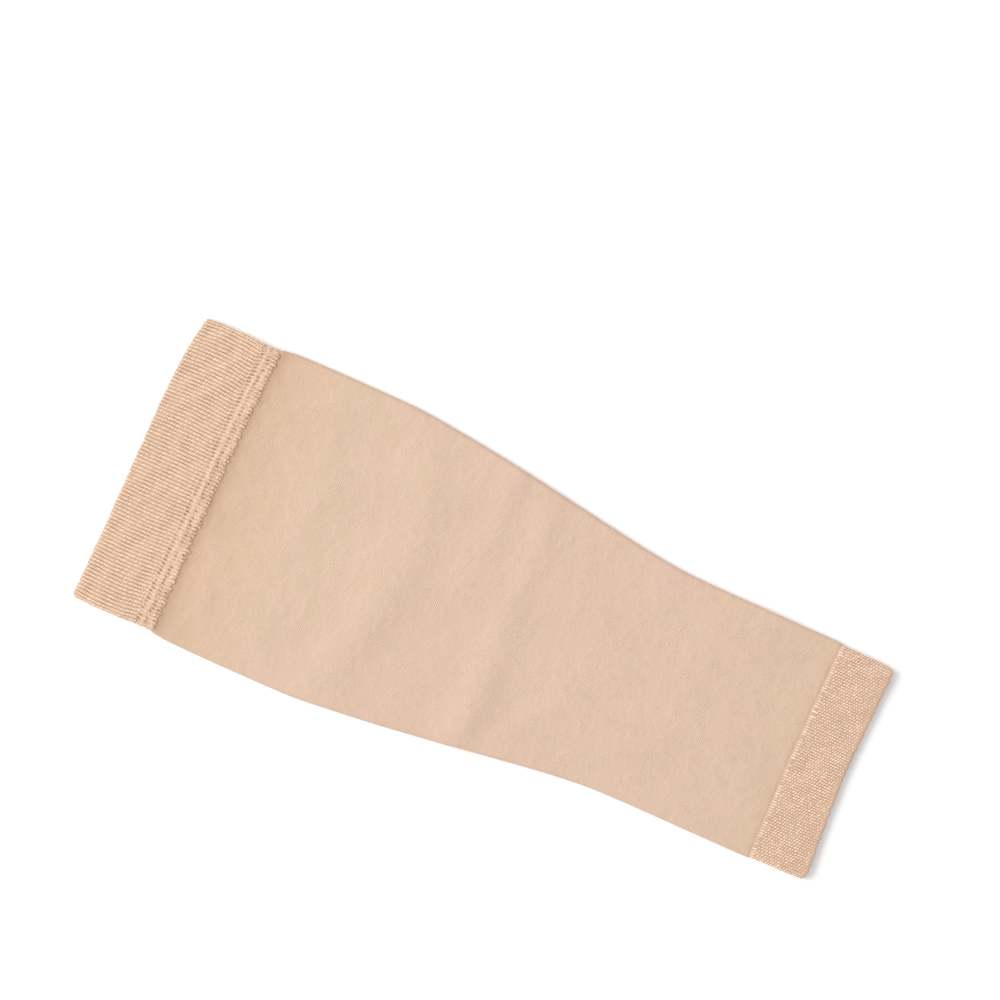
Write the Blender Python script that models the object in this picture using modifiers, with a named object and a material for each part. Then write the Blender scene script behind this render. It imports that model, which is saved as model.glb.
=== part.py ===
"""A calf compression sleeve, knitted round and laid flat on a table.

Four pieces, each a flattened tube that is open at both ends: the leg tube, which narrows from the calf to
the ankle; a doubled, ribbed band at the knee end; the stitched seam that joins the two, lapped over the
tube's top edge all round; and a ribbed band at the ankle end. The front panel lies on the back panel.

Frame: X runs along the leg from the knee end (-X) to the ankle end (+X), Y runs across, and Z is up from
the table, which is at 0. Lengths are metres.
"""

import math
from collections import namedtuple

import bpy
import numpy as np

MM = 0.001

# Driving dimensions: where each piece begins along the flat sleeve.
KNEE_MOUTH = -159.9 * MM
SEAM_START = -132.6 * MM     # the band's ribs run into the seam
SEAM_END = -125.7 * MM       # the seam's free edge, on the leg tube
ANKLE_JOIN = 134.6 * MM
ANKLE_MOUTH = 158.0 * MM
TUBE_TUCK = 6.2 * MM         # how far the leg tube's top edge reaches in under the seam
GAP = 0.3 * MM               # between one piece and the next

TUBE_WALL = 1.0 * MM         # one layer of compression knit
TOP_BAND_WALL = 1.8 * MM     # rib, turned double
SEAM_WALL = 1.0 * MM         # the lapped edge, outside the tube's wall
ANKLE_WALL = 1.3 * MM        # rib, one layer
PANEL_GAP = 0.5 * MM         # between front and back panel, where one lies on the other
SIDE_SWELL = 0.5 * MM        # how much higher the side folds stand than the panel between them
SWELL_POWER = 4              # keeps the swelling close to the side folds

LIFT_RUN = 14 * MM           # the tube comes down from the seam to the table within this length
CORNER_RUN = 3.0 * MM        # a mouth's corners, seen from above, round off within this length
CORNER_TUCK = 0.9 * MM       # and pull in this far at the mouth

# The stretch of the leg tube that the creases cross, which is divided more finely.
CREASES_START = -64.0 * MM
CREASES_END = 24.0 * MM
NARROWING_END = 76.0 * MM

# How finely each flattened tube is divided round it, and along a mouth's corners.
UNDER_SPANS = 6
FOLD_SPANS = 6
TOP_SPANS = 16
CORNER_SPANS = 3

# The leg tube's outline: its flat width at each place along it.
Girth = namedtuple("Girth", "place x width")
LEG_GIRTHS = (
    Girth("under the seam", -132.0, 123.8),
    Girth("clear of the seam", -126.0, 124.6),
    Girth("out from the seam", -120.5, 128.3),
    Girth("upper calf", -114.0, 129.1),
    Girth("fullest calf", -92.0, 129.6),
    Girth("lower calf", -66.0, 129.3),
    Girth("narrowing starts", -48.0, 126.4),
    Girth("upper taper", -24.0, 121.0),
    Girth("middle taper", 6.0, 112.3),
    Girth("lower taper", 34.0, 103.9),
    Girth("narrowing ends", 60.0, 97.4),
    Girth("ankle", 76.0, 95.9),
    Girth("ankle join", 135.0, 95.9),
)
TOP_BAND_GIRTHS = (
    Girth("mouth", -160.5, 126.9),
    Girth("band", -150.0, 127.4),
    Girth("band, lower part", -140.0, 127.3),
    Girth("at the seam", -132.0, 126.5),
)
SEAM_GIRTHS = (
    Girth("at the ribs", -133.0, 126.1),
    Girth("free edge", -125.0, 126.6),
)

# The seam's profile along X: how far its face stands out at each line. The two rows of stitches draw it in.
SeamLine = namedtuple("SeamLine", "place x rise")
SEAM_LINES = (
    SeamLine("edge at the ribs", -132.6, 0.1),
    SeamLine("first row of stitches", -131.8, 0.0),
    SeamLine("ridge between the rows", -130.4, 0.4),
    SeamLine("second row of stitches", -128.9, 0.05),
    SeamLine("rolled edge", -127.1, 0.35),
    SeamLine("free edge", -125.7, 0.0),
)
ANKLE_BAND_GIRTHS = (
    Girth("join", 134.0, 94.8),
    Girth("band", 148.0, 94.6),
    Girth("mouth", 160.5, 93.7),
)

# The lines that run across the sleeve aren't quite straight: how far each is pulled along X at its +Y and -Y
# ends, and how sharply it bends there.
CrossLine = namedtuple("CrossLine", "place x pull_left pull_right bend")
CROSS_LINES = (
    CrossLine("knee mouth", KNEE_MOUTH / MM, 3.3, -0.6, 4.0),
    CrossLine("seam", -129.0, 1.9, -0.2, 2.0),
    CrossLine("calf", -100.0, 0.0, 0.0, 2.0),
    CrossLine("lower leg", 100.0, 0.0, 0.0, 2.0),
    CrossLine("ankle join", ANKLE_JOIN / MM, 0.3, 0.7, 1.5),
    CrossLine("ankle mouth", ANKLE_MOUTH / MM, 1.2, 2.5, 1.2),
)

# The narrow end lies a little to the -Y side of the sleeve's middle.
MiddleLine = namedtuple("MiddleLine", "place x middle")
MIDDLE_LINES = (
    MiddleLine("calf", -60.0, 0.0),
    MiddleLine("ankle", 90.0, -0.7),
    MiddleLine("ankle mouth", 160.0, -0.8),
)

# Creases across the front panel, left by packing: each runs between two points, bows along X in between, and
# stands up (+) or sinks (-) by its height. Its spread is the distance at which it has all but faded.
Crease = namedtuple("Crease", "place x_from y_from x_to y_to bow height spread")
CREASES = (
    Crease("calf fold, crest", -55.0, 24.0, -58.0, -46.0, 7.0, 0.45, 7.0),
    Crease("calf fold, trough", -35.5, 22.0, -47.0, -44.0, 3.0, -0.20, 6.0),
    Crease("short trough", -7.8, 56.0, -7.0, 20.0, 0.0, -0.15, 5.0),
    Crease("shin fold, crest", -1.0, 46.0, 4.5, -42.0, 2.5, 0.50, 6.0),
    Crease("shin fold, trough", 10.0, 34.0, 12.5, -54.0, 1.0, -0.20, 5.0),
)

# Colours of the knits, as linear RGB.
LEG_BEIGE = (0.76, 0.55, 0.42)
BAND_BEIGE = (0.74, 0.52, 0.37)
SEAM_BEIGE = (0.80, 0.58, 0.42)
ANKLE_BEIGE = (0.73, 0.51, 0.38)
KNIT_ROUGHNESS = 0.9

COLLECTION = "calf_compression_sleeve"


def clear_scene():
    for thing in list(bpy.data.objects):
        bpy.data.objects.remove(thing, do_unlink=True)


def curve_through(rows, column, x):
    """Read a table's column at x on the smooth curve through its rows, which doesn't overshoot them."""
    xs = np.array([row.x * MM for row in rows])
    ys = np.array([getattr(row, column) * MM for row in rows])
    steps = np.diff(xs)
    slopes = np.diff(ys) / steps
    before, after = slopes[:-1], slopes[1:]
    same_way = before * after > 0
    turns = np.zeros(len(xs))
    turns[1:-1][same_way] = (2 * before * after)[same_way] / (before + after)[same_way]
    i = int(np.clip(np.searchsorted(xs, x, side="right") - 1, 0, len(steps) - 1))
    t = float(np.clip((x - xs[i]) / steps[i], 0, 1))
    level = ys[i] * (1 + 2 * t) * (1 - t) ** 2 + ys[i + 1] * t * t * (3 - 2 * t)
    turn = turns[i] * t * (1 - t) ** 2 - turns[i + 1] * t * t * (1 - t)
    return float(level + steps[i] * turn)


def eased(t):
    t = min(max(t, 0.0), 1.0)
    return t * t * (3 - 2 * t)


def pull_along(x, share):
    """How far a point moves along X because the cross lines bend; share is -1 to 1 across the width."""
    column = "pull_left" if share > 0 else "pull_right"
    bend = curve_through(CROSS_LINES, "bend", x) / MM
    return curve_through(CROSS_LINES, column, x) * abs(share) ** bend


def crease_height(x, y):
    """How far the creases raise the front panel at a point."""
    height = 0.0
    for crease in CREASES:
        run = (crease.y_from - y / MM) / (crease.y_from - crease.y_to)
        if not 0 < run < 1:
            continue
        middle = crease.x_from + (crease.x_to - crease.x_from) * run
        middle += crease.bow * math.sin(math.pi * run)
        away = (x / MM - middle) / crease.spread
        height += crease.height * MM * math.sin(math.pi * run) ** 0.5 * math.exp(-2 * away * away)
    return height


def flat_section(width, wall, lift=0.0, rise=0.0):
    """Points (y, share, z) round the outside of a flattened tube, from the -Y end of its underside.

    The back panel is level, the side folds are round, and the front panel dips between them.
    """
    low = 2 * wall + PANEL_GAP + rise
    high = low + SIDE_SWELL
    fold = high / 2
    half = width / 2 + rise - fold
    points = [(half * s, s, lift) for s in np.linspace(-1, 1, UNDER_SPANS + 1)]
    turn = np.linspace(0, math.pi, FOLD_SPANS + 1)[1:-1]
    points += [(half + fold * math.sin(a), 1.0, lift + fold * (1 - math.cos(a))) for a in turn]
    across = np.linspace(1, -1, TOP_SPANS + 1)
    points += [(half * s, s, lift + low + SIDE_SWELL * abs(s) ** SWELL_POWER) for s in across]
    points += [(-half - fold * math.sin(a), -1.0, lift + fold * (1 + math.cos(a))) for a in turn]
    return points


def corner_tuck(x, mouth):
    """How much narrower the tube is at x on each side, where its mouth's corners are rounded."""
    if mouth is None:
        return 0.0
    return CORNER_TUCK * max(0.0, 1 - abs(x - mouth) / CORNER_RUN) ** 2


def tube_lift(x):
    """The leg tube's underside starts at the seam's inner face and comes down to the table."""
    under_seam = SEAM_WALL + GAP
    return under_seam * (1 - eased((x - SEAM_END) / LIFT_RUN))


def seam_rise(x):
    return curve_through(SEAM_LINES, "rise", x)


def level(x):
    return 0.0


def loft(name, places, girths, wall, mouth=None, lift=level, rise=level, creased=False):
    """A flattened tube's outer skin through the sections at these places, as an open surface."""
    rings = []
    for x in places:
        width = curve_through(girths, "width", x) - 2 * corner_tuck(x, mouth)
        middle = curve_through(MIDDLE_LINES, "middle", x)
        ring = []
        for y, share, z in flat_section(width, wall, lift(x), rise(x)):
            crease = crease_height(x, y) if creased and z > 2 * wall else 0.0
            ring.append((x + pull_along(x, share), y + middle, z + crease))
        rings.append(ring)
    count = len(rings[0])
    points = [point for ring in rings for point in ring]
    faces = []
    for row in range(len(rings) - 1):
        for i in range(count):
            here, there = row * count + i, row * count + (i + 1) % count
            faces.append((here, there, there + count, here + count))
    mesh = bpy.data.meshes.new(name)
    mesh.from_pydata(points, [], faces)
    return mesh


def knit_material(name, colour):
    material = bpy.data.materials.new(name)
    material.use_nodes = True
    shader = material.node_tree.nodes["Principled BSDF"]
    shader.inputs["Base Color"].default_value = (*colour, 1.0)
    shader.inputs["Roughness"].default_value = KNIT_ROUGHNESS
    shader.inputs["Metallic"].default_value = 0.0
    return material


def cloth_piece(collection, name, mesh, wall, colour):
    """Give the skin its wall, inwards, and its material."""
    piece = bpy.data.objects.new(name, mesh)
    collection.objects.link(piece)
    mesh.materials.append(knit_material(name, colour))
    thick = piece.modifiers.new("wall", "SOLIDIFY")
    thick.thickness = wall
    thick.offset = -1.0
    thick.use_even_offset = True
    thick.use_rim = True
    return piece


def spread(first, last, spans):
    return [float(x) for x in np.linspace(first, last, spans + 1)]


def mouth_places(mouth, last, spans):
    """Places from a rounded mouth inwards: close together round its corners, then even."""
    corner_end = mouth + math.copysign(CORNER_RUN, last - mouth)
    return spread(mouth, corner_end, CORNER_SPANS)[:-1] + spread(corner_end, last, spans)


def make_top_band(collection):
    places = mouth_places(KNEE_MOUTH, SEAM_START - GAP, 4)
    skin = loft("top_band", places, TOP_BAND_GIRTHS, TOP_BAND_WALL, mouth=KNEE_MOUTH)
    return cloth_piece(collection, "top_band", skin, TOP_BAND_WALL, BAND_BEIGE)


def make_band_seam(collection):
    """The seam goes round the outside of the leg tube, so its panels lie that much further apart."""
    places = [line.x * MM for line in SEAM_LINES]
    panels = SEAM_WALL + GAP + TUBE_WALL
    skin = loft("band_seam", places, SEAM_GIRTHS, panels, rise=seam_rise)
    return cloth_piece(collection, "band_seam", skin, SEAM_WALL, SEAM_BEIGE)


def make_leg_tube(collection):
    places = spread(SEAM_END - TUBE_TUCK, SEAM_END, 2)[:-1]
    places += spread(SEAM_END, SEAM_END + LIFT_RUN, 5)[:-1]
    places += spread(SEAM_END + LIFT_RUN, CREASES_START, 4)[:-1]
    places += spread(CREASES_START, CREASES_END, 24)[:-1]
    places += spread(CREASES_END, NARROWING_END, 6)[:-1]
    places += spread(NARROWING_END, ANKLE_JOIN - GAP, 4)
    skin = loft("leg_tube", places, LEG_GIRTHS, TUBE_WALL, lift=tube_lift, creased=True)
    return cloth_piece(collection, "leg_tube", skin, TUBE_WALL, LEG_BEIGE)


def make_ankle_band(collection):
    places = mouth_places(ANKLE_MOUTH, ANKLE_JOIN, 4)[::-1]
    skin = loft("ankle_band", places, ANKLE_BAND_GIRTHS, ANKLE_WALL, mouth=ANKLE_MOUTH)
    return cloth_piece(collection, "ankle_band", skin, ANKLE_WALL, ANKLE_BEIGE)


def main():
    clear_scene()
    collection = bpy.data.collections.new(COLLECTION)
    bpy.context.scene.collection.children.link(collection)
    make_top_band(collection)
    make_band_seam(collection)
    make_leg_tube(collection)
    make_ankle_band(collection)


main()
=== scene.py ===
# %% [markdown]
# # A calf compression sleeve, laid flat
#
# The real thing is knitted round on a machine, so it is a tube without a side seam. It has four parts: a
# leg tube of fine knit that narrows to the ankle, a doubled rib band at the knee, the lapped seam between
# the two, and a rib band at the ankle. It lies flat on a table, front panel on back panel.
#
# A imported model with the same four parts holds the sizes. This lesson reads them from there and makes the
# cloth itself: walls with ribs, creases, stitches and yarn. A dozen flat cards with a knit picture on them
# would be quicker, but they would show no ribs from the side.

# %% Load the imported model
import math

import bpy
import numpy as np
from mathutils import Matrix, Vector


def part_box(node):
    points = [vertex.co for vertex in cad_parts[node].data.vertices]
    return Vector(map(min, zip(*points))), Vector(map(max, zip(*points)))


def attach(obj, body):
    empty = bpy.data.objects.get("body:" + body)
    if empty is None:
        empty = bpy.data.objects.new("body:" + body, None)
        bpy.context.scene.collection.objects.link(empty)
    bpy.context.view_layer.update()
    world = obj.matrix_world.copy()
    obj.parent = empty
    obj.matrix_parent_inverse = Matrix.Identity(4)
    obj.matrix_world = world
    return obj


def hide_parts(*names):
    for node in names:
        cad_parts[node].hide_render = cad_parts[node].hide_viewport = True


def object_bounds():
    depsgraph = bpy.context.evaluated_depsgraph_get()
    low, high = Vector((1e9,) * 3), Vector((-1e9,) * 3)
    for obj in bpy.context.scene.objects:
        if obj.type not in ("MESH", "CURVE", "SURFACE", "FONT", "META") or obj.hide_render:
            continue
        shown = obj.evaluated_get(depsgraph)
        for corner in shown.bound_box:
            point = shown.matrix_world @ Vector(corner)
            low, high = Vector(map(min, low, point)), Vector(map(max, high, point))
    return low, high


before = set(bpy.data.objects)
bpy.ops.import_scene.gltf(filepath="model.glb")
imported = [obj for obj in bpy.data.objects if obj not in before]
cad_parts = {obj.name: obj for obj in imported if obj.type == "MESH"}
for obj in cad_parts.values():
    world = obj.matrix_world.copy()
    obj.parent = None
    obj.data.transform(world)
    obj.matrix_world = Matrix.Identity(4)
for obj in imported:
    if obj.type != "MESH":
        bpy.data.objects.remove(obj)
packed_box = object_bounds()

MM = 0.001
for node in sorted(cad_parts):
    low_corner, high_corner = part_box(node)
    size = (high_corner - low_corner) / MM
    print(f"{node}: {size.x:.1f} x {size.y:.1f} x {size.z:.1f} mm")

# %% [markdown]
# ## Camera
#
# A product picture of a flat garment is taken from straight above. The sleeve isn't square to the picture:
# its knee end points up to the left, so the camera is turned about the upright axis instead of the sleeve,
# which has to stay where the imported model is. A long lens at a distance keeps both ends the same scale.

# %% Hang the camera over the sleeve
VIEW_WIDTH = 410 * MM         # how much of the table the picture takes in
VIEW_TURN = math.radians(24)  # how far the picture is turned against the sleeve
VIEW_SHIFT_RIGHT = 2.6 * MM   # the picture's middle, seen from the sleeve's middle
VIEW_SHIFT_UP = 46.8 * MM
LENS = 100.0                  # in millimetres, as is the sensor
SENSOR = 36.0

middle = (packed_box[0] + packed_box[1]) / 2
picture_right = Vector((math.cos(VIEW_TURN), math.sin(VIEW_TURN), 0.0))
picture_up = Vector((-math.sin(VIEW_TURN), math.cos(VIEW_TURN), 0.0))

camera_data = bpy.data.cameras.new("camera")
camera_data.lens = LENS
camera_data.sensor_width = SENSOR
camera_data.clip_start = 0.05
camera = bpy.data.objects.new("camera", camera_data)
camera.location = middle + picture_right * VIEW_SHIFT_RIGHT + picture_up * VIEW_SHIFT_UP
camera.location.z = VIEW_WIDTH * LENS / SENSOR
camera.rotation_euler = (0.0, 0.0, VIEW_TURN)
bpy.context.scene.collection.objects.link(camera)
bpy.context.scene.camera = camera
print("camera height in metres:", round(camera.location.z, 3))

# %% [markdown]
# ## Light and table
#
# Studio light for knitwear is broad and soft, with a little more of it from one side, so that ribs and
# creases show without hard shadows. Here a bright room gives the soft part and one large lamp beyond the
# knee end gives the direction. The table is a pale sheet with almost no colour of its own.

# %% Light the room
ROOM_LIGHT = 0.76
LAMP_SIZE = 3.0
LAMP_DISTANCE = 5.0
LAMP_HEIGHT_ANGLE = math.radians(38)
LAMP_SIDE_ANGLE = math.radians(188)   # 180 is straight beyond the knee end
LAMP_POWER = 185.0

world = bpy.data.worlds.new("room")
world.use_nodes = True
world.node_tree.nodes["Background"].inputs["Color"].default_value = (1.0, 1.0, 1.0, 1.0)
world.node_tree.nodes["Background"].inputs["Strength"].default_value = ROOM_LIGHT
bpy.context.scene.world = world
bpy.context.scene.view_settings.view_transform = "Standard"


def hang_lamp(name, side_angle, height_angle, distance, size, power):
    """A square lamp that looks at the sleeve's middle."""
    data = bpy.data.lights.new(name, "AREA")
    data.size = size
    data.energy = power
    lamp = bpy.data.objects.new(name, data)
    way = Vector((math.cos(side_angle) * math.cos(height_angle),
                  math.sin(side_angle) * math.cos(height_angle),
                  math.sin(height_angle)))
    lamp.location = way * distance
    lamp.rotation_euler = way.to_track_quat("Z", "Y").to_euler()
    bpy.context.scene.collection.objects.link(lamp)


hang_lamp("side lamp", LAMP_SIDE_ANGLE, LAMP_HEIGHT_ANGLE, LAMP_DISTANCE, LAMP_SIZE, LAMP_POWER)

# %% Lay the table
TABLE_SIZE = 6.0
TABLE_DROP = 0.1 * MM         # keeps the cloth's underside clear of the table's face

table_mesh = bpy.data.meshes.new("table")
corner = TABLE_SIZE / 2
table_mesh.from_pydata(
    [(-corner, -corner, -TABLE_DROP), (corner, -corner, -TABLE_DROP),
     (corner, corner, -TABLE_DROP), (-corner, corner, -TABLE_DROP)],
    [], [(0, 1, 2, 3)])
table = bpy.data.objects.new("table", table_mesh)
bpy.context.scene.collection.objects.link(table)
print("table laid, lamp hung")

# %% [markdown]
# ## Reading a solid
#
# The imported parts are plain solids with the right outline. Everything made below has to follow that
# outline, and the safest way is to measure it: a plane is passed through the solid's triangles, and the
# points where it crosses their edges give the widest and the farthest places. A smooth curve through those
# points then takes the corners off the facets.

# %% Cut a solid with a plane
X, Y, Z = 0, 1, 2


def triangles_of(node):
    """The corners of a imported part's triangles, as an array (triangle, corner, axis)."""
    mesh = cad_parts[node].data
    mesh.calc_loop_triangles()
    points = np.empty(len(mesh.vertices) * 3)
    mesh.vertices.foreach_get("co", points)
    corners = np.empty(len(mesh.loop_triangles) * 3, np.int32)
    mesh.loop_triangles.foreach_get("vertices", corners)
    return points.reshape(-1, 3)[corners].reshape(-1, 3, 3)


def plane_cut(corners, axis, place):
    """Where the plane across one axis crosses the triangles' edges."""
    found = []
    for first, second in ((0, 1), (1, 2), (2, 0)):
        start, end = corners[:, first], corners[:, second]
        crosses = (start[:, axis] - place) * (end[:, axis] - place) < 0
        start, end = start[crosses], end[crosses]
        share = (place - start[:, axis]) / (end[:, axis] - start[:, axis])
        found.append(start + share[:, None] * (end - start))
    return np.vstack(found)


# %% Draw a smooth curve through measured points
def smooth_curve(places, values):
    """A function that reads the smooth curve through these points. It doesn't overshoot them."""
    places, values = np.asarray(places, float), np.asarray(values, float)
    steps = np.diff(places)
    slopes = np.diff(values) / steps
    before, after = slopes[:-1], slopes[1:]
    same_way = before * after > 0
    both = np.where(same_way, before + after, 1.0)
    turns = np.concatenate([slopes[:1], np.where(same_way, 2 * before * after / both, 0.0), slopes[-1:]])

    def read(x):
        x = np.clip(x, places[0], places[-1])
        i = np.clip(np.searchsorted(places, x, side="right") - 1, 0, len(steps) - 1)
        t = (x - places[i]) / steps[i]
        level = values[i] * (1 + 2 * t) * (1 - t) ** 2 + values[i + 1] * t**2 * (3 - 2 * t)
        return level + steps[i] * (turns[i] * t * (1 - t) ** 2 - turns[i + 1] * t**2 * (1 - t))

    return read


def eased(t):
    """0 to 1 with soft ends."""
    t = np.clip(t, 0.0, 1.0)
    return t * t * (3 - 2 * t)


def ramp(run, start, span):
    """0 up to `start`, then softly up to 1 within `span`."""
    return eased((run - start) / span)


# %% [markdown]
# ## A tube that lies flat
#
# Seen from its end, a knitted tube that lies flat is a long slot: a level back panel, a round fold at each
# side, and the front panel on top, which sags a little between the folds. A place on it needs three
# numbers: how far along (`run`, metres from its knee-end edge), how far round (`turn`, 0 to 1, from the
# middle of the underside past the +Y side, the front and the -Y side), and how deep under the skin. Because
# `turn` is a share of the length round, ribs that are evenly spaced in `turn` are evenly spaced on the
# cloth and run over the side folds without a break, as knitted ones do.

# %% The slot shape
SAG_POWER = 4                 # the front panel rises to the folds only near them


def round_the_slot(half, low, high, turn):
    """y, z, the outward direction's y and z, and 0 (back panel) to 1 (front panel), at each turn."""
    fold = high / 2
    flat = half - fold
    arc = math.pi * fold
    gone = turn * (4 * flat + 2 * arc)
    first = np.clip((gone - flat) / fold, 0, math.pi)
    second = np.clip((gone - 3 * flat - arc) / fold, 0, math.pi)
    top = (gone > flat + arc) & (gone < 3 * flat + arc)
    y_top = flat - (gone - flat - arc)
    y_under = np.where(gone <= flat, gone, gone - 4 * flat - 2 * arc)
    left, right = (first > 0) & (gone <= flat + arc), (second > 0) & (gone < 3 * flat + 2 * arc)
    angle = np.where(left, first, math.pi - second)
    side = np.where(left, 1.0, -1.0)
    sag = low + (high - low) * np.abs(y_top / flat) ** SAG_POWER
    folded = left | right
    y = np.where(folded, side * (flat + fold * np.sin(angle)), np.where(top, y_top, y_under))
    z = np.where(folded, fold * (1 - np.cos(angle)), np.where(top, sag, 0.0))
    out_y = np.where(folded, side * np.sin(angle), 0.0)
    out_z = np.where(folded, -np.cos(angle), np.where(top, 1.0, -1.0))
    over = np.where(folded, angle / math.pi, np.where(top, 1.0, 0.0))
    return y, z, out_y, out_z, over


# %% Measure a flat tube from its solid
class FlatTube:
    """A flattened tube with its solid's outline.

    `low` and `high` are its outer height in the middle and at the side folds, and `fade` says how soon its
    bent end lines straighten out. The solid's mouths have round corners, so its sides are measured from
    `skip_start` to `skip_end` off its ends, and drawn on straight.
    """

    STATIONS = 22
    # The places of an end line, as shares of the half width, closer together towards the side folds.
    LINE_SHARES = np.sin(np.linspace(-0.5, 0.5, 15) * math.pi) * 0.999
    INSIDE = 0.01 * MM            # a plane this far inside the end still cuts the solid
    FROM_THE_END = 5 * MM         # here the whole width is there, and the end lines are measured across it

    def __init__(self, node, low, high, fade=1.0, skip_start=INSIDE, skip_end=INSIDE):
        corners = triangles_of(node)
        lowest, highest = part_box(node)
        self.low, self.high, self.fade = low, high, fade
        inset = min(self.FROM_THE_END, (highest.x - lowest.x) / 2)
        self.start_pull, self.start = self.end_line(corners, lowest.x + inset, np.min)
        self.end_pull, end = self.end_line(corners, highest.x - inset, np.max)
        self.length = end - self.start
        measured = self.length - skip_start - skip_end
        runs = skip_start + measured * (1 - np.cos(np.linspace(0, math.pi, self.STATIONS))) / 2
        left = [plane_cut(corners, X, x)[:, Y].max() for x in self.x_at(runs, 1.0)]
        right = [plane_cut(corners, X, x)[:, Y].min() for x in self.x_at(runs, -1.0)]
        self.left, self.right = self.side_line(runs, left), self.side_line(runs, right)

    def end_line(self, corners, inside, farthest):
        """The pull of an end line along X by share of the width, and its place in the middle."""
        edge = plane_cut(corners, X, inside)[:, Y]
        centre, flat = (edge.max() + edge.min()) / 2, (edge.max() - edge.min() - self.high) / 2
        line = np.array([farthest(plane_cut(corners, Y, centre + flat * share)[:, X])
                         for share in self.LINE_SHARES])
        in_middle = line[len(line) // 2]
        return smooth_curve(self.LINE_SHARES, line - in_middle), in_middle

    def side_line(self, runs, sides):
        """The measured side line, drawn on to both mouths."""
        slope_start = (sides[1] - sides[0]) / (runs[1] - runs[0])
        slope_end = (sides[-1] - sides[-2]) / (runs[-1] - runs[-2])
        first = sides[0] - slope_start * runs[0]
        last = sides[-1] + slope_end * (self.length - runs[-1])
        return smooth_curve([0.0, *runs, self.length], [first, *sides, last])

    def x_at(self, run, share):
        """Where along X this run is, at this share of the half width. Near its ends it bends with them."""
        along = run / self.length
        pull = self.start_pull(share) * (1 - along) ** self.fade + self.end_pull(share) * along**self.fade
        return self.start + run + pull

    # What each tube does by itself is put in place of these five.
    def lift(self, run):
        """How high the whole tube is over the table."""
        return 0 * run

    def bulge(self, run):
        """How far its sides stand out from the measured ones."""
        return 0 * run

    def sway(self, run, turn):
        """How far the columns of the knit wander round the tube, in turns."""
        return 0 * run

    def sink(self, run, x, y, over):
        """How deep the whole cloth lies under the measured skin."""
        return 0 * run

    def stray(self, run, turn):
        """How far the knit strays along the leg, such as at an uneven edge."""
        return 0 * run

    def place(self, run, turn, depth=0.0):
        """Points at these places, and the way out there."""
        run, turn, depth = np.broadcast_arrays(run, turn, depth)
        turn = (turn + self.sway(run, turn)) % 1.0
        left, right = self.left(run) + self.bulge(run), self.right(run) - self.bulge(run)
        half, centre = (left - right) / 2, (left + right) / 2
        y, z, out_y, out_z, over = round_the_slot(half, self.low, self.high, turn)
        x = self.x_at(run, np.clip(y / (half - self.high / 2), -1, 1)) + self.stray(run, turn)
        depth = depth + self.sink(run, x, y + centre, over)
        points = np.stack([x, y + centre - depth * out_y, z + self.lift(run) - depth * out_z], axis=-1)
        return points, np.stack([0 * x, out_y, out_z], axis=-1)

    def girth(self, run):
        """The length all round."""
        half = (self.left(run) - self.right(run)) / 2
        return 4 * half + (math.pi - 2) * self.high


# %% Measure the four tubes
# Walls and heights are as the solids have them, but for the seam's wall, which is a little thinner here.
TUBE_WALL = 1.0 * MM
TOP_BAND_WALL = 1.8 * MM
SEAM_WALL = 0.85 * MM
ANKLE_WALL = 1.3 * MM
PANEL_GAP = 0.5 * MM          # between the front and the back panel
SIDE_SWELL = 0.5 * MM         # how much higher the side folds are than the middle
MOUTH_CORNER = 3.2 * MM       # the solids' mouths have round corners a little shorter than this
LIFT_FROM, LIFT_TO = 0.5 * MM, 40 * MM   # where the leg tube's lift is measured, from its hidden edge
LIFT_STATIONS = 24


def under_heights(node, places):
    """How high the solid's underside is over the table at these places along it."""
    corners = triangles_of(node)
    return [plane_cut(corners, X, x)[:, Z].min() for x in places]


hidden_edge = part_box("leg_tube")[0].x
lift_places = np.linspace(hidden_edge + LIFT_FROM, hidden_edge + LIFT_TO, LIFT_STATIONS)
lift_curve = smooth_curve(lift_places - lift_places[0], under_heights("leg_tube", lift_places))

seam_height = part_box("band_seam")[1].z
leg = FlatTube("leg_tube", 2 * TUBE_WALL + PANEL_GAP, 2 * TUBE_WALL + PANEL_GAP + SIDE_SWELL, fade=4.0)
leg.lift = lift_curve
top_band = FlatTube("top_band", 2 * TOP_BAND_WALL + PANEL_GAP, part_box("top_band")[1].z,
                    skip_start=MOUTH_CORNER)
seam = FlatTube("band_seam", seam_height - SIDE_SWELL, seam_height)
ankle_band = FlatTube("ankle_band", 2 * ANKLE_WALL + PANEL_GAP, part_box("ankle_band")[1].z,
                      skip_end=MOUTH_CORNER)
for tube, name in ((leg, "leg tube"), (top_band, "top band"), (seam, "seam"), (ankle_band, "ankle band")):
    print(f"{name}: {tube.length / MM:.1f} mm long, {tube.girth(tube.length / 2) / MM:.0f} mm round")

# %% [markdown]
# ## A wall of cloth
#
# Real cloth has two faces and an edge. Solidify could give a skin its wall, but then the two faces would
# have the same ribs in the same places, and the edge would be square. Here the wall is drawn instead: a
# closed loop that runs along the outer face, round the far edge, back along the inner face and round the
# near edge, and that is carried round the tube. Relief, such as ribs, is a depth that is added to the outer
# face and taken off the inner one, so it fades at the rounded edges by itself.

# %% Draw the wall's loop
EDGE_SPANS = 4


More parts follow.
